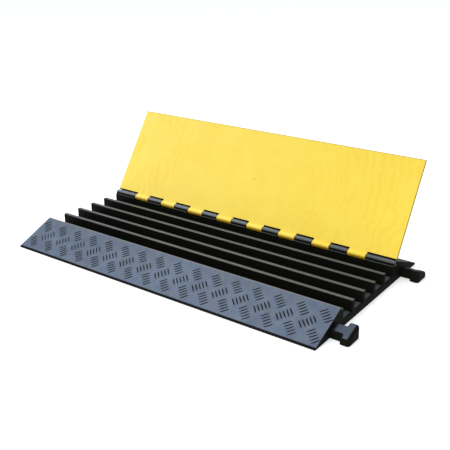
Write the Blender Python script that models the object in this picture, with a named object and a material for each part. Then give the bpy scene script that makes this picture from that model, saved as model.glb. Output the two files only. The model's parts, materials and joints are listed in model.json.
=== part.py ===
"""Five-channel cable protector ramp with a full-length hinged lid.

Cables lie in five open channels between two drive-over ramps. The lid covers the channels and
turns on a rod through seventeen alternating knuckles along the rear ramp. Two T-shaped heads on
the right end drop into sockets under the left end of the next ramp in the row.

Frame: origin at the centre of the underside, +X along the cables to the T-shaped heads, +Y from
the front ramp to the rear ramp, +Z up. The lid is modelled open, leaning on the rear ramp.
"""

import math

import bmesh
import bpy

# Overall size of the base moulding, without the T-shaped heads.
LENGTH = 0.900
WIDTH = 0.500
HEIGHT = 0.051

# Cross-section: ramps, lid seats, floor, ribs and channels.
FRONT_RAMP_RUN = 0.1085
LIP_HEIGHT = 0.004
SEAT_WIDTH = 0.0095
FLOOR_TOP = 0.0150
RIB_TOP = 0.0442
RIB_WIDTH = 0.0105
CHANNEL_WIDTH = 0.041
CHANNEL_COUNT = 5
EDGE_CHAMFER = 0.001
RIB_CHAMFER = 0.0006

# Hinge: one axis along X, behind the rear channel's wall and in front of the rear ramp's crest.
LEDGE_WIDTH = 0.0026
CREST_SETBACK = 0.0102
HINGE_HEIGHT = 0.0462
BARREL_RADIUS = 0.0082
KNUCKLE_PITCH = 0.100
LID_KNUCKLE_COUNT = 8
POCKET_LENGTH = 0.051
LID_KNUCKLE_LENGTH = 0.049
POCKET_CLEARANCE = 0.0009
POCKET_CORNER = 0.003
ROD_RADIUS = 0.0030
BORE_RADIUS = 0.0034
OPEN_ANGLE = math.radians(123.5)

# End plugs that keep the rod in its bore.
PLUG_HEAD_RADIUS = 0.0050
PLUG_HEAD_LENGTH = 0.0027
PLUG_STEM_RADIUS = 0.0030
PLUG_STEM_LENGTH = 0.008
RECESS_RADIUS = 0.0054
RECESS_DEPTH = 0.0030

# Lid.
LID_THICKNESS = 0.0070
LID_SIDE_GAP = 0.0005
LID_REST_GAP = 0.0004
LID_FRONT_GAP = 0.002
LID_HINGE_GAP = 0.0130
LID_CHAMFER = 0.0008
KNUCKLE_ROOT = 0.005

# T-shaped head at each ramp's end. Its place is measured inwards from the ramp's outer edge.
HEAD_CENTRE = 0.0745
HEAD_WIDTH = 0.047
NECK_WIDTH = 0.027
NECK_LENGTH = 0.026
HEAD_REACH = 0.048
HEAD_CORNER = 0.003
HEAD_OUTER_HEIGHT = 0.011
HEAD_SLOPE = 0.36
SOCKET_CLEARANCE = 0.0012

GAP = 0.0003
OVERLAP = 0.002
ROUND_SEGMENTS = 40
CORNER_STEPS = 5
SMOOTH_LIMIT = math.radians(35)
MERGE_DISTANCE = 1e-6

# Derived places.
HALF_LENGTH = LENGTH / 2
HALF_WIDTH = WIDTH / 2
FRONT_CREST_Y = FRONT_RAMP_RUN - HALF_WIDTH
CHANNEL_START_Y = FRONT_CREST_Y + SEAT_WIDTH
CHANNEL_PITCH = CHANNEL_WIDTH + RIB_WIDTH
REAR_WALL_Y = CHANNEL_START_Y + CHANNEL_COUNT * CHANNEL_PITCH - RIB_WIDTH
HINGE_Y = REAR_WALL_Y + LEDGE_WIDTH + BARREL_RADIUS
REAR_CREST_Y = HINGE_Y + CREST_SETBACK
LID_UNDERSIDE = RIB_TOP + LID_REST_GAP - HINGE_HEIGHT
LID_OUTSIDE = LID_UNDERSIDE + LID_THICKNESS


def clear_scene():
    """Remove whatever the scene starts with."""
    for item in list(bpy.data.objects):
        bpy.data.objects.remove(item, do_unlink=True)


def make_material(name, colour, roughness, metallic=0.0):
    """Return a Principled BSDF material."""
    material = bpy.data.materials.new(name)
    material.use_nodes = True
    shader = material.node_tree.nodes["Principled BSDF"]
    shader.inputs["Base Color"].default_value = (*colour, 1.0)
    shader.inputs["Roughness"].default_value = roughness
    shader.inputs["Metallic"].default_value = metallic
    return material


def add_object(name, mesh_data, material=None):
    """Turn a bmesh into an object, shaded smooth across its shallow edges."""
    mesh = bpy.data.meshes.new(name)
    bmesh.ops.recalc_face_normals(mesh_data, faces=mesh_data.faces)
    mesh_data.to_mesh(mesh)
    mesh_data.free()
    mesh.shade_smooth()
    mesh.set_sharp_from_angle(angle=SMOOTH_LIMIT)
    created = bpy.data.objects.new(name, mesh)
    bpy.context.scene.collection.objects.link(created)
    if material is not None:
        mesh.materials.append(material)
    return created


def add_prism(target, outline, place, reach):
    """Add a closed prism to a bmesh: the outline's points as place() puts them, swept by reach."""
    corners = [target.verts.new(place(*point)) for point in outline]
    face = target.faces.new(corners)
    swept = bmesh.ops.extrude_face_region(target, geom=[face])
    moved = [item for item in swept["geom"] if isinstance(item, bmesh.types.BMVert)]
    bmesh.ops.translate(target, verts=moved, vec=reach)


def add_x_prism(target, outline, x_start, x_end):
    """Add a prism along X whose outline is a list of (y, z) points."""
    add_prism(target, outline, lambda y, z: (x_start, y, z), (x_end - x_start, 0, 0))


def add_rod(target, radius, x_start, x_end, y=0.0, z=0.0):
    """Add a closed round bar along X."""
    turn = math.tau / ROUND_SEGMENTS
    outline = [
        (y + radius * math.cos(step * turn), z + radius * math.sin(step * turn))
        for step in range(ROUND_SEGMENTS)
    ]
    add_x_prism(target, outline, x_start, x_end)


def combine(target, tool, operation):
    """Join a helper shape to an object, or cut it away, with an exact Boolean."""
    tool.hide_render = True
    tool.display_type = "WIRE"
    modifier = target.modifiers.new(f"{operation.lower()}_{tool.name}", "BOOLEAN")
    modifier.operation = operation
    modifier.solver = "EXACT"
    modifier.object = tool


def chamfered_corner(corner, before, after, size):
    """Return the two points that replace a corner, each one size away along its side."""
    points = []
    for neighbour in (before, after):
        run = (neighbour[0] - corner[0], neighbour[1] - corner[1])
        share = size / math.hypot(*run)
        points.append((corner[0] + run[0] * share, corner[1] + run[1] * share))
    return points


def ramp_crest(crest_y, lip_y):
    """Return the chamfered upper edge of a ramp, from its slope to its inner wall."""
    crest = (crest_y, HEIGHT)
    return chamfered_corner(crest, (lip_y, LIP_HEIGHT), (crest_y, RIB_TOP), EDGE_CHAMFER)


def base_outline():
    """Return the base's cross-section: (y, z) points from the front lip round to the back."""
    points = [(-HALF_WIDTH, 0.0), (-HALF_WIDTH, LIP_HEIGHT)]
    points += ramp_crest(FRONT_CREST_Y, -HALF_WIDTH)
    points.append((FRONT_CREST_Y, RIB_TOP))
    for channel in range(CHANNEL_COUNT):
        near = CHANNEL_START_Y + channel * CHANNEL_PITCH
        far = near + CHANNEL_WIDTH
        points += [(near - RIB_CHAMFER, RIB_TOP), (near, RIB_TOP - RIB_CHAMFER), (near, FLOOR_TOP)]
        points += [(far, FLOOR_TOP), (far, RIB_TOP - RIB_CHAMFER), (far + RIB_CHAMFER, RIB_TOP)]
    points.append((REAR_CREST_Y, RIB_TOP))
    points += reversed(ramp_crest(REAR_CREST_Y, HALF_WIDTH))
    points += [(HALF_WIDTH, LIP_HEIGHT), (HALF_WIDTH, 0.0)]
    return points


def knuckle_centres():
    """Return the X of each lid knuckle's middle, evenly spaced about the centre."""
    first = -KNUCKLE_PITCH * (LID_KNUCKLE_COUNT - 1) / 2
    return [first + index * KNUCKLE_PITCH for index in range(LID_KNUCKLE_COUNT)]


def base_barrel_spans():
    """Return the (start, end) X of each base knuckle, between the lid knuckles' pockets."""
    edges = [-HALF_LENGTH]
    for centre in knuckle_centres():
        edges += [centre - POCKET_LENGTH / 2, centre + POCKET_LENGTH / 2]
    edges.append(HALF_LENGTH)
    return list(zip(edges[0::2], edges[1::2]))


def add_connector(target, side, x_root, x_reach, clearance):
    """Add one T-shaped head, or with a clearance its socket, running in +X from x_root."""
    middle = side * (HALF_WIDTH - HEAD_CENTRE)
    neck_near = middle + side * (NECK_WIDTH / 2 + clearance)
    neck_far = middle - side * (NECK_WIDTH / 2 + clearance)
    head_near = middle + side * (HEAD_WIDTH / 2 + clearance)
    head_far = middle - side * (HEAD_WIDTH / 2 + clearance)
    x_neck = x_reach - (HEAD_REACH - NECK_LENGTH) - clearance
    x_head = x_reach + clearance
    cut = HEAD_CORNER
    outline = [
        (x_root, neck_near),
        (x_neck, neck_near),
        (x_neck, head_near),
        (x_head - cut, head_near),
        (x_head, head_near - side * cut),
        (x_head, head_far + side * cut),
        (x_head - cut, head_far),
        (x_neck, head_far),
        (x_neck, neck_far),
        (x_root, neck_far),
    ]
    bottom = -OVERLAP if clearance else 0.0

    def top_height(y):
        inward = side * (middle - y) + HEAD_WIDTH / 2
        return HEAD_OUTER_HEIGHT + clearance + HEAD_SLOPE * inward

    lower = [target.verts.new((x, y, bottom)) for x, y in outline]
    upper = [target.verts.new((x, y, top_height(y))) for x, y in outline]
    target.faces.new(lower)
    target.faces.new(upper)
    for index in range(len(outline)):
        following = (index + 1) % len(outline)
        target.faces.new((lower[index], lower[following], upper[following], upper[index]))


def build_base(material):
    """Build the one-piece base: ramps, floor, ribs, base knuckles, T-shaped heads and sockets."""
    body = bmesh.new()
    add_x_prism(body, base_outline(), -HALF_LENGTH, HALF_LENGTH)
    base = add_object("channel_base", body, material)

    heads = bmesh.new()
    sockets = bmesh.new()
    for side in (-1, 1):
        add_connector(heads, side, HALF_LENGTH - OVERLAP, HALF_LENGTH + HEAD_REACH, 0.0)
        add_connector(
            sockets, side, -HALF_LENGTH - OVERLAP, -HALF_LENGTH + HEAD_REACH, SOCKET_CLEARANCE
        )
    combine(base, add_object("joining_heads", heads), "UNION")

    barrels = bmesh.new()
    for start, end in base_barrel_spans():
        add_rod(barrels, BARREL_RADIUS, start, end, HINGE_Y, HINGE_HEIGHT)
    combine(base, add_object("base_barrels", barrels), "UNION")

    combine(base, add_object("knuckle_pockets", knuckle_pockets()), "DIFFERENCE")

    bore = bmesh.new()
    add_rod(bore, BORE_RADIUS, -HALF_LENGTH - OVERLAP, HALF_LENGTH + OVERLAP, HINGE_Y, HINGE_HEIGHT)
    combine(base, add_object("rod_bore", bore), "DIFFERENCE")

    recesses = bmesh.new()
    for side in (-1, 1):
        mouth = side * (HALF_LENGTH + OVERLAP)
        depth = side * (HALF_LENGTH - RECESS_DEPTH)
        add_rod(recesses, RECESS_RADIUS, mouth, depth, HINGE_Y, HINGE_HEIGHT)
    combine(base, add_object("plug_recesses", recesses), "DIFFERENCE")

    combine(base, add_object("joining_sockets", sockets), "DIFFERENCE")
    return base


def knuckle_pockets():
    """Return the cutters that open the rear wall round each lid knuckle."""
    front = REAR_WALL_Y - OVERLAP
    back = HINGE_Y + BARREL_RADIUS + POCKET_CLEARANCE
    low = HINGE_HEIGHT - BARREL_RADIUS - POCKET_CLEARANCE
    high = HINGE_HEIGHT + BARREL_RADIUS + OVERLAP
    half = POCKET_LENGTH / 2
    pockets = bmesh.new()
    for centre in knuckle_centres():
        outline = [(centre + half, high), (centre - half, high)]
        for side in (-1, 1):
            for step in range(CORNER_STEPS + 1):
                turn = step / CORNER_STEPS * math.pi / 2
                if side > 0:
                    turn = math.pi / 2 - turn
                x = centre + side * (half - POCKET_CORNER + POCKET_CORNER * math.cos(turn))
                z = low + POCKET_CORNER - POCKET_CORNER * math.sin(turn)
                outline.append((x, z))
        add_prism(pockets, outline, lambda x, z: (x, front, z), (0, back - front, 0))
    return pockets


def lid_plate_outline():
    """Return the closed lid's cross-section about the hinge axis, without its knuckles."""
    free_edge = FRONT_CREST_Y + LID_FRONT_GAP - HINGE_Y
    corners = [
        (free_edge, LID_UNDERSIDE),
        (free_edge, LID_OUTSIDE),
        (-LID_HINGE_GAP, LID_OUTSIDE),
        (-LID_HINGE_GAP, LID_UNDERSIDE),
    ]
    outline = []
    for index, corner in enumerate(corners):
        before = corners[index - 1]
        after = corners[(index + 1) % len(corners)]
        outline += chamfered_corner(corner, before, after, LID_CHAMFER)
    return outline


def lid_knuckle_outline():
    """Return one lid knuckle's cross-section: a round barrel with a web into the plate."""
    inside = GAP
    start = math.pi - math.asin((LID_OUTSIDE - inside) / BARREL_RADIUS)
    end = -math.pi + math.asin((-LID_UNDERSIDE - inside) / BARREL_RADIUS)
    outline = [
        (-LID_HINGE_GAP - KNUCKLE_ROOT, LID_UNDERSIDE + inside),
        (-LID_HINGE_GAP - KNUCKLE_ROOT, LID_OUTSIDE - inside),
    ]
    for step in range(ROUND_SEGMENTS + 1):
        turn = start + (end - start) * step / ROUND_SEGMENTS
        outline.append((BARREL_RADIUS * math.cos(turn), BARREL_RADIUS * math.sin(turn)))
    return outline


def build_lid(material):
    """Build the lid flat about the hinge axis, then swing it open."""
    half = HALF_LENGTH - LID_SIDE_GAP
    plate = bmesh.new()
    add_x_prism(plate, lid_plate_outline(), -half, half)
    lid = add_object("lid", plate, material)

    knuckles = bmesh.new()
    for centre in knuckle_centres():
        start = centre - LID_KNUCKLE_LENGTH / 2
        add_x_prism(knuckles, lid_knuckle_outline(), start, start + LID_KNUCKLE_LENGTH)
    knuckle_tool = add_object("lid_knuckles", knuckles)
    combine(lid, knuckle_tool, "UNION")

    bore = bmesh.new()
    add_rod(bore, BORE_RADIUS, -half, half)
    bore_tool = add_object("lid_bore", bore)
    combine(lid, bore_tool, "DIFFERENCE")

    pivot = bpy.data.objects.new("hinge_axis", None)
    bpy.context.scene.collection.objects.link(pivot)
    pivot.location = (0.0, HINGE_Y, HINGE_HEIGHT)
    pivot.rotation_euler = (-OPEN_ANGLE, 0.0, 0.0)
    for item in (lid, knuckle_tool, bore_tool):
        item.parent = pivot
    return lid


def build_rod(material):
    """Build the steel rod between the two end plugs."""
    reach = HALF_LENGTH - GAP - PLUG_HEAD_LENGTH - PLUG_STEM_LENGTH - GAP
    bar = bmesh.new()
    add_rod(bar, ROD_RADIUS, -reach, reach)
    rod = add_object("hinge_rod", bar, material)
    rod.location = (0.0, HINGE_Y, HINGE_HEIGHT)
    return rod


def build_plug(name, side, material):
    """Build a turned end plug: a flush head on a stem that fills the bore's mouth."""
    turned = bmesh.new()
    profile = [
        (0.0, 0.0),
        (0.0, PLUG_HEAD_RADIUS),
        (PLUG_HEAD_LENGTH, PLUG_HEAD_RADIUS),
        (PLUG_HEAD_LENGTH, PLUG_STEM_RADIUS),
        (PLUG_HEAD_LENGTH + PLUG_STEM_LENGTH, PLUG_STEM_RADIUS),
        (PLUG_HEAD_LENGTH + PLUG_STEM_LENGTH, 0.0),
    ]
    points = [turned.verts.new((-side * depth, radius, 0.0)) for depth, radius in profile]
    edges = [turned.edges.new(pair) for pair in zip(points, points[1:])]
    bmesh.ops.spin(
        turned,
        geom=points + edges,
        axis=(1, 0, 0),
        cent=(0, 0, 0),
        angle=math.tau,
        steps=ROUND_SEGMENTS,
        use_merge=True,
    )
    bmesh.ops.remove_doubles(turned, verts=turned.verts, dist=MERGE_DISTANCE)
    plug = add_object(name, turned, material)
    plug.location = (side * (HALF_LENGTH - GAP), HINGE_Y, HINGE_HEIGHT)
    return plug


def main():
    clear_scene()
    rubber = make_material("base_rubber", (0.020, 0.023, 0.028), 0.55)
    yellow = make_material("lid_plastic", (0.90, 0.62, 0.04), 0.45)
    steel = make_material("rod_steel", (0.55, 0.56, 0.58), 0.30, 1.0)
    plug_left_finish = make_material("plug_left_plastic", (0.03, 0.03, 0.03), 0.50)
    plug_right_finish = make_material("plug_right_plastic", (0.03, 0.03, 0.03), 0.50)
    build_base(rubber)
    build_lid(yellow)
    build_rod(steel)
    build_plug("rod_plug_left", -1, plug_left_finish)
    build_plug("rod_plug_right", 1, plug_right_finish)


main()
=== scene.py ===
"""The finished look of the cable protector ramp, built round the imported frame.

The base and the lid are rebuilt with rounded edges and raised five-bar tread. The hinge rod and
its end plugs stay as the frame has them and get their own finish. Everything is in metres, in the
frame's axes: +X along the cables to the T-shaped heads, +Y to the hinge, +Z up.
"""

import json
import math

import bmesh
import bpy
from mathutils import Matrix, Vector


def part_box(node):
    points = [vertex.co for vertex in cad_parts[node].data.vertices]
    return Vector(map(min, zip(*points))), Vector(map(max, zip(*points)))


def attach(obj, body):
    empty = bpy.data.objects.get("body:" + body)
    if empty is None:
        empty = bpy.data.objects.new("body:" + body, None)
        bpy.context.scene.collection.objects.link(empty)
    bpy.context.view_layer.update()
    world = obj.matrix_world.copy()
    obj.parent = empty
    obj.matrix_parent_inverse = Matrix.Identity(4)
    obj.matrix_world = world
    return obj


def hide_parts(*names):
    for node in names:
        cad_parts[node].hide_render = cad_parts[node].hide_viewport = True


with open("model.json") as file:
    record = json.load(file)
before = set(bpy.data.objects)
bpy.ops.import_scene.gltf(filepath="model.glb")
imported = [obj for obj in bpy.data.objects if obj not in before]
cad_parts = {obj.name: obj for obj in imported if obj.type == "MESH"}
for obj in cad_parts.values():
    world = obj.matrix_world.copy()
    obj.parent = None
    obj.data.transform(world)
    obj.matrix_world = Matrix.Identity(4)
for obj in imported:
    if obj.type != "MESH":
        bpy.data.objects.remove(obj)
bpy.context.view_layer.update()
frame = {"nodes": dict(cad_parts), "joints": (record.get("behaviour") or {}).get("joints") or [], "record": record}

# ---------------------------------------------------------------- places taken from the frame
base_low, base_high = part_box("channel_base")
hinge = frame["joints"][0]
HINGE_Y = hinge["pos_m"][1]
HINGE_Z = hinge["pos_m"][2]
OPEN_ANGLE = math.radians(hinge["range_deg"][1])
HALF_LENGTH = -base_low.x
HALF_WIDTH = base_high.y
HEAD_REACH = base_high.x - HALF_LENGTH
BARREL_RADIUS = base_high.z - HINGE_Z

# Each stated opening is the room that a cable has: a little less than the channel round it.
CHANNEL_SIDE_ROOM = 0.0015
CHANNEL_FLOOR_ROOM = 0.0005
channel_boxes = [opening["box_m"] for opening in frame["record"]["physics"]["openings"]]
CHANNELS = sorted(
    (low[1] - CHANNEL_SIDE_ROOM, high[1] + CHANNEL_SIDE_ROOM) for low, high in channel_boxes
)
FLOOR_TOP = channel_boxes[0][0][2] - CHANNEL_FLOOR_ROOM

# ---------------------------------------------------------------- mesh building limits
# Helper solids reach past each other by the overlap. Edges shorter than a sliver are dissolved.
OVERLAP = 0.002
SLIVER = 0.00001
ARC_STEPS = 4
ROUND_SEGMENTS = 48
SMOOTH_LIMIT = math.radians(40)
SHARPEST_MITRE = 0.3

# ---------------------------------------------------------------- sizes of the base
HEIGHT = 0.051
RIB_TOP = 0.0442
LIP_HEIGHT = 0.004
SEAT_WIDTH = 0.0095
CREST_SETBACK = 0.0102
FRONT_CREST_Y = CHANNELS[0][0] - SEAT_WIDTH
REAR_CREST_Y = HINGE_Y + CREST_SETBACK
REAR_WALL_Y = CHANNELS[-1][1]

CREST_ROUND = 0.0016
LIP_ROUND = 0.0016
RIB_ROUND = 0.0012
FLOOR_ROUND = 0.0030
CORNER_ROUND = 0.0013
END_ROUND = 0.0010

KNUCKLE_PITCH = 0.100
LID_KNUCKLE_COUNT = 8
POCKET_LENGTH = 0.0515
POCKET_CLEARANCE = 0.0009
POCKET_ROUND = 0.0035
KNUCKLE_ROUND = 0.0010
BARREL_SETBACK = 0.0005
BORE_RADIUS = 0.0034
RECESS_RADIUS = 0.0054
RECESS_DEPTH = 0.0030

HEAD_INSET = 0.0745
HEAD_CENTRE_Y = HALF_WIDTH - HEAD_INSET
HEAD_WIDTH = 0.0490
HEAD_EXTRA_REACH = 0.0010
HEAD_ROUND = 0.0060
SHOULDER_ROUND = 0.0056
HEAD_TOP_ROUND = 0.0052
HEAD_UNDERSIDE = 0.0003
NECK_WIDTH = 0.027
NECK_LENGTH = 0.026
HEAD_OUTER_HEIGHT = 0.0128
HEAD_SLOPE = 0.36
SOCKET_CLEARANCE = 0.0012

# ---------------------------------------------------------------- sizes of the lid
# The lid's Y and Z are measured from the hinge axis, with the lid closed.
LID_THICKNESS = 0.0070
LID_REST_GAP = 0.0004
LID_END_GAP = 0.0005
LID_CREST_GAP = 0.002
LID_UNDERSIDE = RIB_TOP + LID_REST_GAP - HINGE_Z
LID_OUTSIDE = LID_UNDERSIDE + LID_THICKNESS
LID_HALF_LENGTH = HALF_LENGTH - LID_END_GAP
LID_HINGE_EDGE = -0.0124
LID_OUTER_HINGE_EDGE = -0.0090
LID_FREE_EDGE = FRONT_CREST_Y + LID_CREST_GAP - HINGE_Y
LID_ROUND = 0.0015
LID_END_ROUND = 0.0005
LID_KNUCKLE_LENGTH = 0.0485
KNUCKLE_ROOT = 0.005
WEB_PROUD = 0.00005

# The mark of the moulding gate. Each ring of its dish is (inset, rise above the underside).
GATE_Y = -0.128
GATE_RADIUS = 0.0032
GATE_SEGMENTS = 24
GATE_DISH = ((0.0, -OVERLAP), (0.0, -0.0001), (0.0008, 0.0005))

# ---------------------------------------------------------------- five-bar tread
TREAD_PITCH = 0.0569
LID_TREAD_PITCH = 0.0560
TREAD_GROUPS = 16
FIRST_GROUP_X = 0.0265 - HALF_LENGTH
ROW_SPACING = 0.0284
ROW_SHARES = (0.241, 0.481, 0.726)
LID_ROWS = 8
BAR_LENGTH = 0.0232
CROSS_BAR_LENGTH = 0.0264
BAR_SPACING = 0.0081
BARS_PER_GROUP = 5
BAR_WIDTH = 0.0054
BAR_BLUNTNESS = 0.75

# Each level of a bar is (share of its width, rise). At the top, its length keeps a fixed share.
BAR_PROFILE = ((1.0, -0.0004), (0.46, 0.0008), (0.25, 0.0010), (0.05, 0.0011))
BAR_CREST_SHARE = 0.55
BAR_SEGMENTS = 16


# ---------------------------------------------------------------- mesh building
def rounded(corners):
    """Return an outline whose corners, given as (u, v, radius), are arcs."""
    points = []
    for index, (u, v, radius) in enumerate(corners):
        corner = Vector((u, v))
        if radius == 0:
            points.append(corner)
            continue
        before = (Vector(corners[index - 1][:2]) - corner).normalized()
        after = (Vector(corners[(index + 1) % len(corners)][:2]) - corner).normalized()
        half = before.angle(after) / 2
        centre = corner + (before + after).normalized() * (radius / math.sin(half))
        start = corner + before * (radius / math.tan(half)) - centre
        end = corner + after * (radius / math.tan(half)) - centre
        first = math.atan2(start.y, start.x)
        sweep = math.remainder(math.atan2(end.y, end.x) - first, math.tau)
        for step in range(ARC_STEPS + 1):
            turn = first + sweep * step / ARC_STEPS
            points.append(centre + radius * Vector((math.cos(turn), math.sin(turn))))
    return points


def inset(outline, depth):
    """Return the outline moved inwards by depth, with as many points as before."""
    count = len(outline)
    area = sum(outline[i - 1].cross(outline[i]) for i in range(count))
    side = math.copysign(1.0, area)
    moved = []
    for index, point in enumerate(outline):
        before = (point - outline[index - 1]).normalized()
        after = (outline[(index + 1) % count] - point).normalized()
        normal = Vector((-(before.y + after.y), before.x + after.x)).normalized() * side
        stretch = max(normal.dot(Vector((-before.y, before.x)) * side), SHARPEST_MITRE)
        moved.append(point + normal * (depth / stretch))
    return moved


def circle(radius, u=0.0, v=0.0, segments=ROUND_SEGMENTS):
    """Return a round outline about (u, v)."""
    turns = [step * math.tau / segments for step in range(segments)]
    return [Vector((u + radius * math.cos(turn), v + radius * math.sin(turn))) for turn in turns]


def loft(target, rings):
    """Add a closed solid through rings that all have the same number of points."""
    levels = [[target.verts.new(point) for point in ring] for ring in rings]
    for lower, upper in zip(levels, levels[1:]):
        for index in range(len(lower)):
            target.faces.new((lower[index - 1], lower[index], upper[index], upper[index - 1]))
    target.faces.new(levels[0])
    target.faces.new(levels[-1])


def add_x_solid(target, outline, x_start, x_end, edge=0.0):
    """Add a solid along X with a (y, z) outline. Its two end edges are rounded by edge."""
    stations = [(x_start, 0.0), (x_end, 0.0)]
    if edge:
        turns = [step / ARC_STEPS * math.pi / 2 for step in range(ARC_STEPS + 1)]
        curve = [(edge * (1 - math.sin(t)), edge * (1 - math.cos(t))) for t in turns]
        stations = [(x_start + along, depth) for depth, along in curve]
        stations += [(x_end - along, depth) for depth, along in reversed(curve)]
    rings = []
    for x, depth in stations:
        ring = inset(outline, depth) if depth else outline
        rings.append([(x, point.x, point.y) for point in ring])
    loft(target, rings)


def make_object(name, mesh_data, materials=()):
    """Turn a bmesh into an object in the scene, with its faces pointing out."""
    mesh = bpy.data.meshes.new(name)
    bmesh.ops.recalc_face_normals(mesh_data, faces=mesh_data.faces)
    mesh_data.to_mesh(mesh)
    mesh_data.free()
    for material in materials:
        mesh.materials.append(material)
    made = bpy.data.objects.new(name, mesh)
    bpy.context.scene.collection.objects.link(made)
    return made


def shade(item):
    """Shade round faces smooth, and let flat faces keep their own direction."""
    item.data.shade_smooth()
    item.data.set_sharp_from_angle(angle=SMOOTH_LIMIT)
    weighting = item.modifiers.new("even_shading", "WEIGHTED_NORMAL")
    weighting.keep_sharp = True


def carve(target, tools):
    """Join (UNION) or cut (DIFFERENCE) helper solids, then keep only the cleaned result."""
    for operation, tool in tools:
        modifier = target.modifiers.new(tool.name, "BOOLEAN")
        modifier.operation = operation
        modifier.solver = "EXACT"
        modifier.object = tool
    depsgraph = bpy.context.evaluated_depsgraph_get()
    mesh = bpy.data.meshes.new_from_object(target.evaluated_get(depsgraph))
    cleaned = bmesh.new()
    cleaned.from_mesh(mesh)
    bmesh.ops.dissolve_degenerate(cleaned, dist=SLIVER, edges=cleaned.edges)
    loose = [edge for edge in cleaned.edges if not edge.link_faces]
    bmesh.ops.delete(cleaned, geom=loose, context="EDGES")
    cleaned.to_mesh(mesh)
    cleaned.free()
    target.modifiers.clear()
    target.data = mesh
    for _, tool in tools:
        bpy.data.objects.remove(tool, do_unlink=True)


# ---------------------------------------------------------------- base
def base_section_corners():
    """Return the base's cross-section as (y, z, radius) corners, front lip first."""
    corners = [
        (-HALF_WIDTH, 0.0, CORNER_ROUND),
        (-HALF_WIDTH, LIP_HEIGHT, LIP_ROUND),
        (FRONT_CREST_Y, HEIGHT, CREST_ROUND),
        (FRONT_CREST_Y, RIB_TOP, CORNER_ROUND),
    ]
    for near, far in CHANNELS:
        corners += [(near, RIB_TOP, RIB_ROUND), (near, FLOOR_TOP, FLOOR_ROUND)]
        corners += [(far, FLOOR_TOP, FLOOR_ROUND), (far, RIB_TOP, RIB_ROUND)]
    corners += [
        (REAR_CREST_Y, RIB_TOP, CORNER_ROUND),
        (REAR_CREST_Y, HEIGHT, CREST_ROUND),
        (HALF_WIDTH, LIP_HEIGHT, LIP_ROUND),
        (HALF_WIDTH, 0.0, CORNER_ROUND),
    ]
    return corners


def lid_knuckle_centres():
    """Return the X of each lid knuckle's middle."""
    first = -KNUCKLE_PITCH * (LID_KNUCKLE_COUNT - 1) / 2
    return [first + index * KNUCKLE_PITCH for index in range(LID_KNUCKLE_COUNT)]


def base_barrels():
    """Return the round base knuckles between the lid's knuckles."""
    outer_end = HALF_LENGTH - BARREL_SETBACK
    edges = [-outer_end]
    for centre in lid_knuckle_centres():
        edges += [centre - POCKET_LENGTH / 2, centre + POCKET_LENGTH / 2]
    edges.append(outer_end)
    barrels = bmesh.new()
    outline = circle(BARREL_RADIUS, HINGE_Y, HINGE_Z)
    for start, end in zip(edges[0::2], edges[1::2]):
        add_x_solid(barrels, outline, start, end, KNUCKLE_ROUND)
    return make_object("barrels", barrels)


def knuckle_pockets():
    """Return the cutters that open the rear wall round each lid knuckle."""
    front = REAR_WALL_Y - OVERLAP
    back = HINGE_Y + BARREL_RADIUS + POCKET_CLEARANCE
    low = HINGE_Z - BARREL_RADIUS - POCKET_CLEARANCE
    high = HINGE_Z + BARREL_RADIUS + OVERLAP
    pockets = bmesh.new()
    for centre in lid_knuckle_centres():
        left = centre - POCKET_LENGTH / 2
        right = centre + POCKET_LENGTH / 2
        corners = [(left, high, 0), (left, low, POCKET_ROUND)]
        corners += [(right, low, POCKET_ROUND), (right, high, 0)]
        outline = rounded(corners)
        loft(pockets, [[(p.x, y, p.y) for p in outline] for y in (front, back)])
    return make_object("pockets", pockets)


def connector_outline(side, clearance):
    """Return the plan of a T-shaped head, or of its socket, with X measured from the root."""
    middle = side * HEAD_CENTRE_Y
    neck = NECK_WIDTH / 2 + clearance
    head = HEAD_WIDTH / 2 + clearance
    shoulder = NECK_LENGTH - clearance
    tip = HEAD_REACH + HEAD_EXTRA_REACH + clearance
    root = -OVERLAP - HEAD_TOP_ROUND
    corners = [
        (root, middle - neck, 0),
        (shoulder, middle - neck, CORNER_ROUND),
        (shoulder, middle - head, SHOULDER_ROUND),
        (tip, middle - head, HEAD_ROUND),
        (tip, middle + head, HEAD_ROUND),
        (shoulder, middle + head, SHOULDER_ROUND),
        (shoulder, middle + neck, CORNER_ROUND),
        (root, middle + neck, 0),
    ]
    return rounded(corners)


def add_connector(target, side, x_root, clearance):
    """Add a T-shaped head with a sloping, rounded top, or with a clearance its socket."""
    outline = connector_outline(side, clearance)
    middle = side * HEAD_CENTRE_Y

    def top(y):
        return HEAD_OUTER_HEIGHT + clearance + HEAD_SLOPE * (side * (middle - y) + HEAD_WIDTH / 2)

    bottom = -OVERLAP if clearance else HEAD_UNDERSIDE
    rings = [[(x_root + p.x, p.y, bottom) for p in outline]]
    if clearance:
        rings.append([(x_root + p.x, p.y, top(p.y)) for p in outline])
    else:
        for step in range(ARC_STEPS + 1):
            turn = step / ARC_STEPS * math.pi / 2
            depth = HEAD_TOP_ROUND * (1 - math.cos(turn))
            drop = HEAD_TOP_ROUND * (1 - math.sin(turn))
            ring = inset(outline, depth) if depth else outline
            rings.append([(x_root + p.x, p.y, top(p.y) - drop) for p in ring])
    loft(target, rings)


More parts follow.
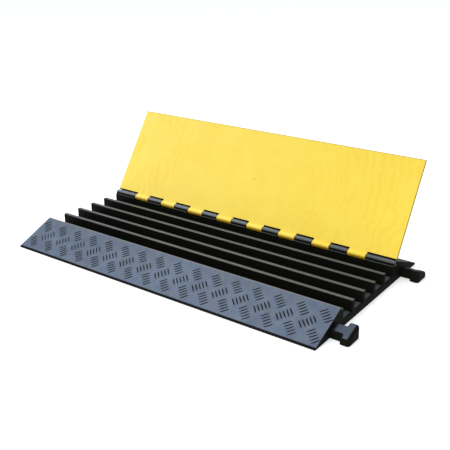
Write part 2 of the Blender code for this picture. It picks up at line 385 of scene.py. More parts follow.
def build_base(rubber):
    """Build the moulded base in place of the frame's channel_base."""
    body = bmesh.new()
    add_x_solid(body, rounded(base_section_corners()), -HALF_LENGTH, HALF_LENGTH, END_ROUND)
    base = make_object("ramp_moulding", body, [rubber])

    heads = bmesh.new()
    sockets = bmesh.new()
    for side in (-1, 1):
        add_connector(heads, side, HALF_LENGTH, 0.0)
        add_connector(sockets, side, -HALF_LENGTH, SOCKET_CLEARANCE)

    bore = bmesh.new()
    recesses = bmesh.new()
    mouth = HALF_LENGTH + OVERLAP
    seat = HALF_LENGTH - RECESS_DEPTH
    add_x_solid(bore, circle(BORE_RADIUS, HINGE_Y, HINGE_Z), -mouth, mouth)
    for start, end in ((-mouth, -seat), (seat, mouth)):
        add_x_solid(recesses, circle(RECESS_RADIUS, HINGE_Y, HINGE_Z), start, end)

    carve(
        base,
        [
            ("UNION", make_object("heads", heads)),
            ("UNION", base_barrels()),
            ("DIFFERENCE", knuckle_pockets()),
            ("DIFFERENCE", make_object("bore", bore)),
            ("DIFFERENCE", make_object("recesses", recesses)),
            ("DIFFERENCE", make_object("sockets", sockets)),
        ],
    )
    shade(base)
    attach(base, "base")
    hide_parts("channel_base")


# ---------------------------------------------------------------- lid
def lid_placement():
    """Return the matrix from the closed lid's own axes, about the hinge, to the rest pose."""
    turn = Matrix.Rotation(-OPEN_ANGLE, 4, "X")
    return Matrix.Translation((0.0, HINGE_Y, HINGE_Z)) @ turn


def build_lid(plastic):
    """Build the lid about the hinge axis, as if closed, then place it open.

    The webs between the plate and its knuckles stand a hair proud of the plate's two faces.
    """
    plate = bmesh.new()
    outline = rounded(
        [
            (LID_FREE_EDGE, LID_UNDERSIDE, LID_ROUND),
            (LID_FREE_EDGE, LID_OUTSIDE, LID_ROUND),
            (LID_OUTER_HINGE_EDGE, LID_OUTSIDE, LID_ROUND),
            (LID_HINGE_EDGE, LID_UNDERSIDE, LID_ROUND),
        ]
    )
    add_x_solid(plate, outline, -LID_HALF_LENGTH, LID_HALF_LENGTH, LID_END_ROUND)
    lid = make_object("lid_moulding", plate, [plastic])

    knuckles = bmesh.new()
    web_low = LID_UNDERSIDE - WEB_PROUD
    web_high = LID_OUTSIDE + WEB_PROUD
    start = math.pi - math.asin(web_high / BARREL_RADIUS)
    end = math.asin(-web_low / BARREL_RADIUS) - math.pi
    root = LID_HINGE_EDGE - KNUCKLE_ROOT
    section = [Vector((root, web_low)), Vector((root, web_high))]
    for step in range(ROUND_SEGMENTS + 1):
        turn = start + (end - start) * step / ROUND_SEGMENTS
        section.append(BARREL_RADIUS * Vector((math.cos(turn), math.sin(turn))))
    for centre in lid_knuckle_centres():
        near = centre - LID_KNUCKLE_LENGTH / 2
        add_x_solid(knuckles, section, near, near + LID_KNUCKLE_LENGTH, KNUCKLE_ROUND)

    bore = bmesh.new()
    add_x_solid(bore, circle(BORE_RADIUS), -LID_HALF_LENGTH, LID_HALF_LENGTH)

    gate = bmesh.new()
    dish = circle(GATE_RADIUS, 0.0, GATE_Y, GATE_SEGMENTS)
    rings = [(inset(dish, depth), LID_UNDERSIDE + rise) for depth, rise in GATE_DISH]
    loft(gate, [[(p.x, p.y, z) for p in ring] for ring, z in rings])

    carve(
        lid,
        [
            ("UNION", make_object("lid_barrels", knuckles)),
            ("DIFFERENCE", make_object("lid_bore", bore)),
            ("DIFFERENCE", make_object("gate", gate)),
        ],
    )
    shade(lid)
    lid.matrix_world = lid_placement()
    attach(lid, "lid")
    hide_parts("lid")


# ---------------------------------------------------------------- tread
def add_bar(target, centre, along, beside, up, length, lit_steps):
    """Add one low ridge with pointed ends.

    The half towards beside is painted as the lit side, in slot 1, for the lowest steps of the profile that the
    last argument counts; the rest is painted as the shaded side.
    """
    levels = []
    for share, rise in BAR_PROFILE:
        reach = length / 2 * (BAR_CREST_SHARE + (1 - BAR_CREST_SHARE) * share)
        width = BAR_WIDTH / 2 * share
        level = []
        for step in range(BAR_SEGMENTS):
            turn = step * math.tau / BAR_SEGMENTS
            swell = math.copysign(abs(math.sin(turn)) ** BAR_BLUNTNESS, math.sin(turn))
            offset = along * (reach * math.cos(turn)) + beside * (width * swell)
            level.append(target.verts.new(centre + offset + up * rise))
        levels.append(level)
    for step, (lower, upper) in enumerate(zip(levels, levels[1:])):
        for index in range(BAR_SEGMENTS):
            corners = (lower[index - 1], lower[index], upper[index], upper[index - 1])
            face = target.faces.new(corners)
            # Slot 1 holds the painted lit side, slot 0 the painted shaded side.
            is_lit_side = step < lit_steps and 0 < index <= BAR_SEGMENTS // 2
            face.material_index = 1 if is_lit_side else 0
    target.faces.new(levels[0])
    target.faces.new(levels[-1])


def add_tread(target, origin, across, up, rows, first_x, pitch):
    """Add rows of bar groups. Each row is (distance from origin, whether its bars lean right)."""
    x_axis = Vector((1, 0, 0))
    for distance, leans_right in rows:
        groups = TREAD_GROUPS if leans_right else TREAD_GROUPS - 1
        first = first_x if leans_right else first_x + pitch / 2
        turn = 1 if leans_right else -1
        length = BAR_LENGTH if leans_right else CROSS_BAR_LENGTH
        lit_steps = len(BAR_PROFILE) - 1 if leans_right else 1
        along = (x_axis + across * turn).normalized()
        beside = (x_axis * -turn + across).normalized()
        for group in range(groups):
            middle = origin + across * distance + x_axis * (first + group * pitch)
            for bar in range(BARS_PER_GROUP):
                shift = (bar - (BARS_PER_GROUP - 1) / 2) * BAR_SPACING
                add_bar(target, middle + beside * shift, along, beside, up, length, lit_steps)


def build_ramp_tread(name, side, rubbers):
    """Build the tread of the front ramp (side -1) or the rear ramp (side 1)."""
    crest_y = FRONT_CREST_Y if side < 0 else REAR_CREST_Y
    lip = Vector((0, side * HALF_WIDTH, LIP_HEIGHT))
    climb = Vector((0, crest_y, HEIGHT)) - lip
    across = climb.normalized()
    up = Vector((-side, 0, 0)).cross(across)
    rows = [(share * climb.length, row % 2 == 0) for row, share in enumerate(ROW_SHARES)]
    tread = bmesh.new()
    add_tread(tread, lip, across, up, rows, FIRST_GROUP_X, TREAD_PITCH)
    item = make_object(name, tread, rubbers)
    shade(item)
    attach(item, "base")


def build_lid_tread(plastics):
    """Build the tread of the lid's outer face."""
    tread = bmesh.new()
    middle = (LID_FREE_EDGE + LID_HINGE_EDGE) / 2
    first = -ROW_SPACING * (LID_ROWS - 1) / 2
    rows = [(first + row * ROW_SPACING, row % 2 == 0) for row in range(LID_ROWS)]
    first_x = -LID_TREAD_PITCH * (TREAD_GROUPS - 1) / 2
    origin = Vector((0, middle, LID_OUTSIDE))
    add_tread(tread, origin, Vector((0, 1, 0)), Vector((0, 0, 1)), rows, first_x, LID_TREAD_PITCH)
    item = make_object("lid_tread", tread, plastics)
    shade(item)
    item.matrix_world = lid_placement()
    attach(item, "lid")


# ---------------------------------------------------------------- shader nodes
COLOUR_A = 6
COLOUR_B = 7
COLOUR_RESULT = 2


def new_material(name):
    """Return a material, its node tree and its Principled BSDF."""
    material = bpy.data.materials.new(name)
    material.use_nodes = True
    tree = material.node_tree
    return material, tree, tree.nodes["Principled BSDF"]


def connect(tree, value, socket):
    """Feed a socket from another socket, or set it to a plain value."""
    if isinstance(value, bpy.types.NodeSocket):
        tree.links.new(value, socket)
    else:
        socket.default_value = value


def maths(tree, operation, *values):
    """Add a Math node and return its output."""
    node = tree.nodes.new("ShaderNodeMath")
    node.operation = operation
    for index, value in enumerate(values):
        connect(tree, value, node.inputs[index])
    return node.outputs[0]


def product(tree, *values):
    """Multiply any number of values."""
    total = values[0]
    for value in values[1:]:
        total = maths(tree, "MULTIPLY", total, value)
    return total


def opposite(tree, share):
    """Return one minus a share."""
    return maths(tree, "SUBTRACT", 1.0, share)


def size_of(tree, value):
    """Return a value without its sign."""
    return maths(tree, "ABSOLUTE", value)


def ramped(tree, value, low, high, low_to=0.0, high_to=1.0):
    """Map a value smoothly from low..high to low_to..high_to."""
    node = tree.nodes.new("ShaderNodeMapRange")
    node.interpolation_type = "SMOOTHSTEP"
    for index, item in enumerate((value, low, high, low_to, high_to)):
        connect(tree, item, node.inputs[index])
    return node.outputs[0]


def mixed(tree, share, first, second):
    """Mix two colours by share."""
    node = tree.nodes.new("ShaderNodeMix")
    node.data_type = "RGBA"
    connect(tree, share, node.inputs["Factor"])
    connect(tree, first, node.inputs[COLOUR_A])
    connect(tree, second, node.inputs[COLOUR_B])
    return node.outputs[COLOUR_RESULT]


def scaled_colour(tree, colour, amount):
    """Multiply a colour by a value."""
    node = tree.nodes.new("ShaderNodeVectorMath")
    node.operation = "SCALE"
    connect(tree, colour[:3] if isinstance(colour, tuple) else colour, node.inputs[0])
    connect(tree, amount, node.inputs["Scale"])
    return node.outputs[0]


def noise(tree, place, scale, detail, distortion=0.0):
    """Add a noise texture and return its value."""
    node = tree.nodes.new("ShaderNodeTexNoise")
    connect(tree, place, node.inputs["Vector"])
    node.inputs["Scale"].default_value = scale
    node.inputs["Detail"].default_value = detail
    node.inputs["Distortion"].default_value = distortion
    return node.outputs["Fac"]


def stretched(tree, place, scale):
    """Scale the texture space along each axis."""
    node = tree.nodes.new("ShaderNodeMapping")
    node.inputs["Scale"].default_value = scale
    connect(tree, place, node.inputs["Vector"])
    return node.outputs["Vector"]


def bump(tree, height, distance, strength):
    """Add a bump node and return its normal."""
    node = tree.nodes.new("ShaderNodeBump")
    node.inputs["Strength"].default_value = strength
    node.inputs["Distance"].default_value = distance
    connect(tree, height, node.inputs["Height"])
    return node.outputs["Normal"]


def surface_parts(tree):
    """Return the place in the object's own axes, its X, Y, Z, and the surface direction's."""
    coordinates = tree.nodes.new("ShaderNodeTexCoord")
    split = tree.nodes.new("ShaderNodeSeparateXYZ")
    connect(tree, coordinates.outputs["Object"], split.inputs[0])
    facing = tree.nodes.new("ShaderNodeSeparateXYZ")
    connect(tree, coordinates.outputs["Normal"], facing.inputs[0])
    return coordinates.outputs["Object"], split.outputs, facing.outputs


# ---------------------------------------------------------------- rubber
BLACK_RUBBER = (0.0060, 0.0058, 0.0044, 1)
FLOOR_RUBBER = (0.010, 0.010, 0.010, 1)
# Painted glint on the channel floors near the right end.
FLOOR_END_GLINT = (0.070, 0.072, 0.076, 1)
# Painted reflection: the blue-grey of the ramp faces and the heads' tops, with dusty patches.
RAMP_SHEEN = (0.068, 0.098, 0.156, 1)
RAMP_DUSTY_SHEEN = (0.093, 0.114, 0.152, 1)
# Painted sheen on the rib tops where they face up.
RIB_TOP_SHEEN = (0.067, 0.066, 0.063, 1)
# Painted highlights along the front ramp's crest and its right end.
CREST_HIGHLIGHT = (0.155, 0.153, 0.146, 1)
SIDE_HIGHLIGHT = (0.112, 0.130, 0.168, 1)
# Painted highlight on the barrels' tops, brighter towards the left end.
BARREL_HIGHLIGHT = (0.128, 0.138, 0.154, 1)
# Painted shade and painted light on the two sides of the tread bars.
BAR_SHADE_RUBBER = (0.0062, 0.0088, 0.0134, 1)
BAR_LIT_RUBBER = (0.112, 0.130, 0.158, 1)

# Painted shade: brightness of the rear ramp, and of the two heads' tops, against the front ramp.
REAR_SHADE = 0.50
REAR_END_SHADE = 0.18
FRONT_HEAD_SHADE = 0.56
REAR_HEAD_SHADE = 0.13

BAR_GLOSS = 0.12
LIT_BAR_GLOSS = 0.40

# Each noise is (scale, detail, distortion) and each bump is (depth, strength).
CLOUD_NOISE = (16.0, 5.0, 0.6)
PATCH_NOISE = (55.0, 4.0, 0.3)
DRAG_STRETCH = (260.0, 26.0, 26.0)
DRAG_NOISE = (1.0, 3.0)
RUBBER_GRAIN = (900.0, 2.0)
RUBBER_BUMP = (0.00012, 0.6)
BAR_BUMP = (0.00010, 0.5)

# Where the base's zones begin and end.
BODY_END_X = HALF_LENGTH + 0.0001
HEAD_TIP_X = HALF_LENGTH + HEAD_REACH
CREST_BACK_Y = FRONT_CREST_Y + CREST_ROUND / 2
BARREL_FRONT_Y = HINGE_Y - BARREL_RADIUS + 0.0003
REAR_RAMP_Y = REAR_CREST_Y + CREST_ROUND
CREST_APEX = HEIGHT - 0.0010
CREST_HIGHLIGHT_WIDTH = 0.0016
SIDE_HIGHLIGHT_WIDTH = 0.0022

# Each range is for ramped(): (low, high), or (low, high, result at low, result at high).
CLOUD_TONE = (0.25, 0.75, 0.84, 1.14)
DRAG_TONE = (0.3, 0.7, 0.94, 1.06)
DUSTY_PATCHES = (0.35, 0.68)
RAMP_FACING_UP = (0.60, 0.88)
ABOVE_LIP = (LIP_HEIGHT + 0.0011, LIP_HEIGHT + 0.0020)
# Painted shade on the rear ramp, deepening towards its right end.
REAR_FADE = (HALF_LENGTH - 0.200, HALF_LENGTH - 0.035)
UP_TO_CREST = (0.028, 0.047, 1.0, 0.86)
CREST_HIGHLIGHT_BAND = (CREST_APEX - CREST_HIGHLIGHT_WIDTH, CREST_APEX)
SIDE_HIGHLIGHT_BAND = (HALF_LENGTH - SIDE_HIGHLIGHT_WIDTH, HALF_LENGTH - SIDE_HIGHLIGHT_WIDTH / 3)
# Painted shade on the heads' tops: dark at the root and near the tip, and darker on the rear head.
PAST_HEAD_ROOT = (HALF_LENGTH + 0.003, HALF_LENGTH + 0.010)
BEFORE_HEAD_TIP = (HEAD_TIP_X - 0.0080, HEAD_TIP_X - 0.0042, 1.0, 0.0)
HEAD_SIDE = (-HEAD_WIDTH / 2, HEAD_WIDTH / 2, FRONT_HEAD_SHADE, REAR_HEAD_SHADE)
HEAD_FACING_UP = (0.84, 0.93)
HEAD_LEVEL_ALONG = (0.02, 0.30, 1.0, 0.0)
NEAR_RIB_TOP = (RIB_TOP - 0.003, RIB_TOP - 0.0012)
RIB_FACING_UP = (0.45, 0.80)
RIB_LEFT_END = (0.001 - HALF_LENGTH, 0.009 - HALF_LENGTH, 0.15, 1.0)
RIBS_TO_REAR = (-0.025, 0.015, 1.0, 0.84)
FLOOR_GLINT_START = (HALF_LENGTH - 0.022, HALF_LENGTH - 0.012)
FLOOR_GLINT_STOP = (HALF_LENGTH - 0.007, HALF_LENGTH - 0.004, 1.0, 0.0)
BARREL_TOP = (HINGE_Z + 0.0022, HINGE_Z + 0.0068)
BARREL_BACK = (0.20, 0.42, 1.0, 0.0)
BARREL_ALONG = (-HALF_LENGTH, HALF_LENGTH, 1.25, 0.62)
RUBBER_ROUGHNESS = (0.3, 0.7, 0.46, 0.62)
BAR_ROUGHNESS = (0.3, 0.7, 0.46, 0.60)
SHEEN_GLOSS = (0.0, 1.0, 0.03, 0.40)
END_FACE_GLOSS = (0.6, 0.9, 1.0, 0.42)


def rubber_detail(tree, place):
    """Return the dusty share, the tone, and the fine grain of rubber marked by wear."""
    cloud = noise(tree, place, *CLOUD_NOISE)
    patches = noise(tree, place, *PATCH_NOISE)
    drag = noise(tree, stretched(tree, place, DRAG_STRETCH), *DRAG_NOISE)
    grain = noise(tree, place, *RUBBER_GRAIN)
    tone = product(tree, ramped(tree, cloud, *CLOUD_TONE), ramped(tree, drag, *DRAG_TONE))
    return ramped(tree, patches, *DUSTY_PATCHES), tone, grain


def rubber_material(name):
    """Black rubber with painted light: blue-grey reflection on ramp faces and head tops, sheen on rib and barrel
    tops, highlights on edges, shade at the rear.
    """
    material, tree, shader = new_material(name)
    place, (x, y, z), (facing_side, facing_back, facing_up) = surface_parts(tree)
    dusty, tone, grain = rubber_detail(tree, place)

    # The zones of the base, from the front lip to the rear one, then the heads.
    on_body = maths(tree, "LESS_THAN", x, BODY_END_X)
    behind_crest = maths(tree, "GREATER_THAN", y, CREST_BACK_Y)
    before_barrels = maths(tree, "LESS_THAN", y, BARREL_FRONT_Y)
    before_rear = maths(tree, "LESS_THAN", y, REAR_RAMP_Y)
    front_ramp = product(tree, opposite(tree, behind_crest), on_body)
    channels = product(tree, behind_crest, before_barrels, on_body)
    hinge_zone = product(tree, opposite(tree, before_barrels), before_rear, on_body)
    rear_ramp = product(tree, opposite(tree, before_rear), on_body)

    # Painted reflection where the ramp faces face up above the lip; on the rear ramp it is dimmed as painted
    # shade.
    upward = ramped(tree, facing_up, *RAMP_FACING_UP)
    above_lip = ramped(tree, z, *ABOVE_LIP)
    rear_shade = ramped(tree, x, *REAR_FADE, REAR_SHADE, REAR_END_SHADE)
    ramp_shade = maths(tree, "ADD", front_ramp, product(tree, rear_ramp, rear_shade))
    ramps = product(tree, upward, above_lip, ramp_shade)

    # Painted reflection on the heads' tops where they face up, with painted shade at the root and the tip.
    heads = product(
        tree,
        opposite(tree, on_body),
        ramped(tree, facing_up, *HEAD_FACING_UP),
        ramped(tree, size_of(tree, facing_side), *HEAD_LEVEL_ALONG),
        ramped(tree, x, *PAST_HEAD_ROOT),
        ramped(tree, x, *BEFORE_HEAD_TIP),
        ramped(tree, y, *HEAD_SIDE),
    )

    # Painted sheen on the rib tops, with painted shade on their rounded left end, and darker towards the rear.
    near_rib_top = ramped(tree, z, *NEAR_RIB_TOP)
    rib_facing = ramped(tree, facing_up, *RIB_FACING_UP)
    rib_top_sheen = product(tree, channels, rib_facing, near_rib_top, ramped(tree, x, *RIB_LEFT_END))
    floors = product(tree, channels, upward, opposite(tree, near_rib_top))
    # Painted glint on the channel floors, just short of the right end.
    glint_start = ramped(tree, x, *FLOOR_GLINT_START)
    floor_glint = product(tree, glint_start, ramped(tree, x, *FLOOR_GLINT_STOP))
    # Painted highlight on the barrels' upper front, brighter towards the left end.
    barrel_highlight = product(
        tree,
        hinge_zone,
        ramped(tree, z, *BARREL_TOP),
        ramped(tree, facing_back, *BARREL_BACK),
        ramped(tree, x, *BARREL_ALONG),
    )

    # The colour of each zone, laid over the black.
    # Painted highlights along the front ramp's crest and its right-end edge.
    crest_highlight = product(tree, ramped(tree, z, *CREST_HIGHLIGHT_BAND), front_ramp)
    side_highlight = product(tree, ramped(tree, size_of(tree, x), *SIDE_HIGHLIGHT_BAND), front_ramp)
    # Painted reflection colour, darker towards the crest.
    ramp_colour = mixed(tree, dusty, RAMP_SHEEN, RAMP_DUSTY_SHEEN)
    ramp_colour = mixed(tree, side_highlight, ramp_colour, SIDE_HIGHLIGHT)
    ramp_colour = mixed(tree, crest_highlight, ramp_colour, CREST_HIGHLIGHT)
    ramp_tone = product(tree, tone, ramped(tree, z, *UP_TO_CREST))
    rib_tone = product(tree, tone, ramped(tree, y, *RIBS_TO_REAR))
    ramp_and_head_sheen = maths(tree, "ADD", ramps, heads)

    floor_colour = mixed(tree, floor_glint, FLOOR_RUBBER, FLOOR_END_GLINT)
    colour = mixed(tree, floors, BLACK_RUBBER, floor_colour)
    colour = mixed(tree, rib_top_sheen, colour, scaled_colour(tree, RIB_TOP_SHEEN, rib_tone))
    colour = mixed(tree, barrel_highlight, colour, BARREL_HIGHLIGHT)
    colour = mixed(tree, ramp_and_head_sheen, colour, scaled_colour(tree, ramp_colour, ramp_tone))

    # The zones of painted reflection, sheen and highlight get more gloss.
    sheen_zones = maths(tree, "MAXIMUM", ramp_and_head_sheen, maths(tree, "MAXIMUM", rib_top_sheen, barrel_highlight))
    end_face = ramped(tree, size_of(tree, facing_side), *END_FACE_GLOSS)
    gloss = product(tree, ramped(tree, sheen_zones, *SHEEN_GLOSS), end_face)
    connect(tree, colour, shader.inputs["Base Color"])
    connect(tree, ramped(tree, grain, *RUBBER_ROUGHNESS), shader.inputs["Roughness"])
    connect(tree, gloss, shader.inputs["Specular IOR Level"])
    connect(tree, bump(tree, grain, *RUBBER_BUMP), shader.inputs["Normal"])
    return material


def tread_material(name, colour, gloss, end_share=1.0):
    """Finish of one side of the tread bars, with painted shade darkening it to end_share at the right end."""
    material, tree, shader = new_material(name)
    place, (x, _, _), _ = surface_parts(tree)
    _, tone, grain = rubber_detail(tree, place)
    tone = product(tree, tone, ramped(tree, x, *REAR_FADE, 1.0, end_share))
    connect(tree, scaled_colour(tree, colour, tone), shader.inputs["Base Color"])
    connect(tree, ramped(tree, grain, *BAR_ROUGHNESS), shader.inputs["Roughness"])
    shader.inputs["Specular IOR Level"].default_value = gloss
    connect(tree, bump(tree, grain, *BAR_BUMP), shader.inputs["Normal"])
    return material


# ---------------------------------------------------------------- yellow plastic
# The lid's two shades, each at its left end and at its right end; the bluer left end is a painted haze of
# reflected light.
PALE_YELLOW = ((0.850, 0.640, 0.108, 1), (0.850, 0.618, 0.050, 1))
DEEP_YELLOW = ((0.832, 0.592, 0.076, 1), (0.832, 0.574, 0.032, 1))
GATE_YELLOW = (0.640, 0.480, 0.050, 1)
KNUCKLE_SHADOW = (0.430, 0.235, 0.006, 1)
# Painted shade on the plate's edge by the hinge.
HINGE_EDGE_DARK = (0.006, 0.004, 0.001, 1)
# Painted shade on the free edge and on the end faces.
FREE_EDGE_BROWN = (0.380, 0.300, 0.080, 1)
END_FACE_SHADE_GOLD = (0.300, 0.205, 0.018, 1)
# Painted shade on the shaded side of the lid's tread bars.
LID_BAR_SHADE_YELLOW = (0.640, 0.420, 0.026, 1)
LID_BAR_GLOSS = 0.35

RING_PITCH = 0.023
RING_WANDER_NOISE = (6.0, 5.0, 1.5)
RING_WANDER = 27.0
RING_PATCH_NOISE = (7.0, 2.0)
BLOTCH_NOISE = (15.0, 4.0, 0.8)
PLASTIC_GRAIN = (1200.0, 2.0)
PLASTIC_BUMP = (0.00006, 0.5)

# The side of a knuckle that looks down into the channels when the lid is open, as (Y, Z).
LOWER_SIDE = (0.774, -0.627)

# Ranges for ramped(), as for the rubber.
FROM_GATE = (0.10, 0.34, 0.12, 0.85)
RING_PATCHES = (0.38, 0.60, 0.12, 1.0)
RING_WAVE = (-0.4, 1.0)
BLOTCHES = (0.36, 0.64, 0.0, 0.42)
LEFT_TO_RIGHT = (-HALF_LENGTH, HALF_LENGTH)
FREE_EDGE_TO_HINGE = (LID_FREE_EDGE, 0.0, 0.965, 1.075)
GATE_STAIN = (GATE_RADIUS * 0.7, GATE_RADIUS * 1.3, 0.75, 0.0)
BY_HINGE = (LID_HINGE_EDGE - 0.0008, LID_HINGE_EDGE)
KNUCKLE_LOWER_SIDE = (0.72, 1.0)
PAST_BARREL = (BARREL_RADIUS + 0.0006, BARREL_RADIUS + 0.0012)
HINGE_EDGE_FACING = (0.70, 0.80)
FREE_EDGE_LINE = (LID_FREE_EDGE + 0.0014, LID_FREE_EDGE + 0.0034, 0.80, 0.0)
END_FACE_SHADE_FACING = (0.45, 0.85)
PLASTIC_ROUGHNESS = (0.3, 0.7, 0.40, 0.52)
PLASTIC_GLOSS = (0.0, 1.0, 0.03, 0.35)


def yellow_material(name):
    """Moulded yellow plastic with the faint rings that the melt left as it flowed from the gate."""
    material, tree, shader = new_material(name)
    place, (x, y, z), (facing_side, facing_hinge, facing_out) = surface_parts(tree)
    from_gate = tree.nodes.new("ShaderNodeVectorMath")
    from_gate.operation = "DISTANCE"
    connect(tree, place, from_gate.inputs[0])
    connect(tree, (0.0, GATE_Y, LID_UNDERSIDE), from_gate.inputs[1])
    distance = from_gate.outputs["Value"]

    # Rings and blotches between the two shades.
    wander = product(tree, noise(tree, place, *RING_WANDER_NOISE), RING_WANDER)
    phase = product(tree, distance, math.tau / RING_PITCH)
    waves = maths(tree, "SINE", maths(tree, "ADD", phase, wander))
    ring_patches = ramped(tree, noise(tree, place, *RING_PATCH_NOISE), *RING_PATCHES)
    strength = product(tree, ramped(tree, distance, *FROM_GATE), ring_patches)
    rings = product(tree, ramped(tree, waves, *RING_WAVE), strength)
    blotches = ramped(tree, noise(tree, place, *BLOTCH_NOISE), *BLOTCHES)
    along = ramped(tree, x, *LEFT_TO_RIGHT)
    pale = mixed(tree, along, *PALE_YELLOW)
    deep = mixed(tree, along, *DEEP_YELLOW)
    colour = mixed(tree, maths(tree, "ADD", blotches, rings), pale, deep)
    # Painted light: the lid gets brighter from its free edge towards the hinge.
    colour = scaled_colour(tree, colour, ramped(tree, y, *FREE_EDGE_TO_HINGE))
    colour = mixed(tree, ramped(tree, distance, *GATE_STAIN), colour, GATE_YELLOW)

    # Painted shadow on the knuckles' lower side, and painted shade on the dark edge of the plate beside them.
    towards_hinge = product(tree, facing_hinge, LOWER_SIDE[0])
    lower_side = maths(tree, "ADD", towards_hinge, product(tree, facing_out, LOWER_SIDE[1]))
    below = ramped(tree, lower_side, *KNUCKLE_LOWER_SIDE)
    colour = mixed(tree, product(tree, below, ramped(tree, y, *BY_HINGE)), colour, KNUCKLE_SHADOW)
    from_axis = maths(tree, "SQRT", maths(tree, "ADD", product(tree, y, y), product(tree, z, z)))
    past_barrel = ramped(tree, from_axis, *PAST_BARREL)
    hinge_edge = product(tree, past_barrel, ramped(tree, lower_side, *HINGE_EDGE_FACING))
    colour = mixed(tree, hinge_edge, colour, HINGE_EDGE_DARK)

    # Painted shade along the plate's other edges: a line by the free edge, and the end faces.
    colour = mixed(tree, ramped(tree, y, *FREE_EDGE_LINE), colour, FREE_EDGE_BROWN)
    end_face_shade = ramped(tree, size_of(tree, facing_side), *END_FACE_SHADE_FACING)
    colour = mixed(tree, end_face_shade, colour, END_FACE_SHADE_GOLD)

    grain = noise(tree, place, *PLASTIC_GRAIN)
    plain = product(tree, opposite(tree, hinge_edge), opposite(tree, end_face_shade))
    connect(tree, colour, shader.inputs["Base Color"])
    connect(tree, ramped(tree, grain, *PLASTIC_ROUGHNESS), shader.inputs["Roughness"])
    connect(tree, ramped(tree, plain, *PLASTIC_GLOSS), shader.inputs["Specular IOR Level"])
    connect(tree, bump(tree, grain, *PLASTIC_BUMP), shader.inputs["Normal"])
    return material


# ---------------------------------------------------------------- rod and plugs
STEEL_DARK = (0.42, 0.43, 0.45, 1)
STEEL_BRIGHT = (0.62, 0.63, 0.65, 1)
STEEL_STRETCH = (20.0, 2600.0, 2600.0)
STEEL_NOISE = (1.0, 2.0)
STEEL_ROUGHNESS = (0.3, 0.7, 0.26, 0.40)

PLUG_DARK = (0.012, 0.012, 0.013, 1)
PLUG_PALE = (0.022, 0.022, 0.024, 1)
PLUG_GRAIN = (1500.0, 2.0)
PLUG_BUMP = (0.00005, 0.5)
PLUG_ROUGHNESS = (0.3, 0.7, 0.42, 0.56)


def steel_material(name):
    """Drawn steel bar with fine lengthwise lines."""
    material, tree, shader = new_material(name)
    place, _, _ = surface_parts(tree)
    lines = noise(tree, stretched(tree, place, STEEL_STRETCH), *STEEL_NOISE)
    colour = mixed(tree, lines, STEEL_DARK, STEEL_BRIGHT)
    connect(tree, colour, shader.inputs["Base Color"])
    connect(tree, ramped(tree, lines, *STEEL_ROUGHNESS), shader.inputs["Roughness"])
    shader.inputs["Metallic"].default_value = 1.0
    return material


def plug_material(name):
    """Black moulded plastic with a fine grain."""
    material, tree, shader = new_material(name)
    place, _, _ = surface_parts(tree)
    grain = noise(tree, place, *PLUG_GRAIN)
    connect(tree, mixed(tree, grain, PLUG_DARK, PLUG_PALE), shader.inputs["Base Color"])
    connect(tree, ramped(tree, grain, *PLUG_ROUGHNESS), shader.inputs["Roughness"])
    connect(tree, bump(tree, grain, *PLUG_BUMP), shader.inputs["Normal"])
    return material


def finish_frame_nodes():
    """Give the rod and the plugs, which stay as the frame has them, their finish."""
    finishes = {
        "hinge_rod": steel_material("drawn_steel"),
        "rod_plug_left": plug_material("plug_left_finish"),
        "rod_plug_right": plug_material("plug_right_finish"),
    }
    for name, material in finishes.items():
        node = frame["nodes"][name]
        node.data.materials.clear()
        node.data.materials.append(material)


# ---------------------------------------------------------------- stage
CAMERA_PLACE = (1.09291, -1.41342, 0.80643)
CAMERA_TURN = (71.341, 0.316, 35.729)
LENS = 60.40
LENS_SHIFT = (-0.0200, -0.0989)
SENSOR_WIDTH = 36.0
FAR_CLIP = 100.0

FLOOR_HALF_SIZE = 30.0
FLOOR_DROP = 0.0004
FLOOR_COLOUR = (0.86, 0.86, 0.86, 1)
FLOOR_ROUGHNESS = 0.9
FLOOR_GLOW_COLOUR = (1, 1, 1, 1)
FLOOR_GLOW = 0.40

# The sky lights the object with one colour, and the camera sees another.
SKY_LIGHT = (0.90, 0.95, 1.0, 1)
SKY_SEEN = (1.4, 1.4, 1.4, 1)
SKY_STRENGTH = 0.75

# Each softbox is (name, place, size, power in watts, colour).
SOFTBOXES = (
    ("back_softbox", (-1.5, 0.9, 2.4), (2.2, 1.6), 48.0, (0.80, 0.90, 1.0)),
    ("front_softbox", (-0.1, -2.4, 2.3), (2.4, 1.6), 43.0, (1.0, 0.98, 0.95)),
)
SOFTBOX_AIM = (0, 0, 0.05)


def add_floor():
    """Add the pale floor, just under the base."""
    floor_data = bmesh.new()
    bmesh.ops.create_grid(floor_data, x_segments=1, y_segments=1, size=FLOOR_HALF_SIZE)
    material, _, shader = new_material("pale_floor")
    shader.inputs["Base Color"].default_value = FLOOR_COLOUR
    shader.inputs["Roughness"].default_value = FLOOR_ROUGHNESS
    shader.inputs["Specular IOR Level"].default_value = 0.0
    shader.inputs["Emission Color"].default_value = FLOOR_GLOW_COLOUR
    shader.inputs["Emission Strength"].default_value = FLOOR_GLOW
    floor = make_object("floor", floor_data, [material])
    floor.location.z = -FLOOR_DROP


def add_sky():
    """Add the soft light from all round."""
    world = bpy.data.worlds.new("studio")
    world.use_nodes = True
    tree = world.node_tree
    background = tree.nodes["Background"]
    background.inputs["Strength"].default_value = SKY_STRENGTH
    light_path = tree.nodes.new("ShaderNodeLightPath")
    sky = mixed(tree, light_path.outputs["Is Camera Ray"], SKY_LIGHT, SKY_SEEN)
    connect(tree, sky, background.inputs["Color"])
    bpy.context.scene.world = world


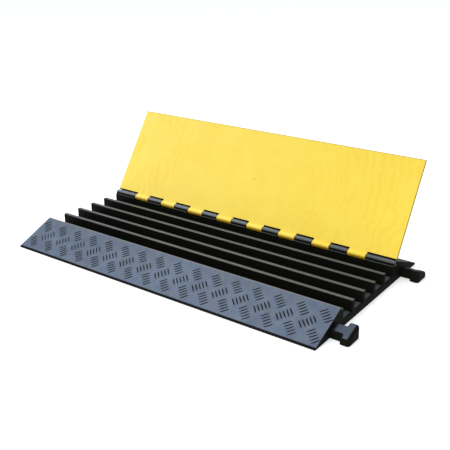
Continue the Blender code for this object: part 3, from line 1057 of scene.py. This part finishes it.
def add_softbox(name, place, size, power, colour):
    """Add a rectangular light that points at the object."""
    data = bpy.data.lights.new(name, "AREA")
    data.shape = "RECTANGLE"
    data.size, data.size_y = size
    data.energy = power
    data.color = colour
    light = bpy.data.objects.new(name, data)
    bpy.context.scene.collection.objects.link(light)
    light.location = place
    aim = Vector(SOFTBOX_AIM) - Vector(place)
    light.rotation_euler = aim.to_track_quat("-Z", "Y").to_euler()


def add_camera():
    """Add the camera at the angle that shows the open lid, the channels and the right end."""
    scene = bpy.context.scene
    lens = bpy.data.cameras.new("camera")
    lens.sensor_width = SENSOR_WIDTH
    lens.lens = LENS
    lens.shift_x, lens.shift_y = LENS_SHIFT
    lens.clip_end = FAR_CLIP
    camera = bpy.data.objects.new("camera", lens)
    scene.collection.objects.link(camera)
    camera.location = CAMERA_PLACE
    camera.rotation_euler = [math.radians(angle) for angle in CAMERA_TURN]
    scene.camera = camera


def build_stage():
    """Build the pale floor, the soft light and the camera."""
    bpy.context.scene.view_settings.view_transform = "Standard"
    add_floor()
    add_sky()
    for softbox in SOFTBOXES:
        add_softbox(*softbox)
    add_camera()


# ---------------------------------------------------------------- the whole object
def build_object():
    """Build the base, the lid and their tread, and finish the rod and the plugs."""
    rubber = rubber_material("ramp_rubber")
    # The bars' two sides are painted as a shaded side and a lit side; the rear lit side is dimmed as painted
    # shade.
    bar_rubber = tread_material("bar_rubber", BAR_SHADE_RUBBER, BAR_GLOSS)
    front_bar_lit = tread_material("front_bar_worn_rubber", BAR_LIT_RUBBER, LIT_BAR_GLOSS)
    rear_lit_colour = tuple(channel * REAR_SHADE for channel in BAR_LIT_RUBBER[:3])
    rear_end_share = REAR_END_SHADE / REAR_SHADE
    rear_bar_lit = tread_material("rear_bar_worn_rubber", rear_lit_colour, LIT_BAR_GLOSS, rear_end_share)
    shaded_lid_bars = tread_material("lid_bar_yellow", LID_BAR_SHADE_YELLOW, LID_BAR_GLOSS)
    yellow = yellow_material("lid_yellow")

    build_base(rubber)
    build_ramp_tread("front_ramp_tread", -1, [bar_rubber, front_bar_lit])
    build_ramp_tread("rear_ramp_tread", 1, [bar_rubber, rear_bar_lit])
    build_lid(yellow)
    build_lid_tread([shaded_lid_bars, yellow])
    finish_frame_nodes()


build_object()
build_stage()
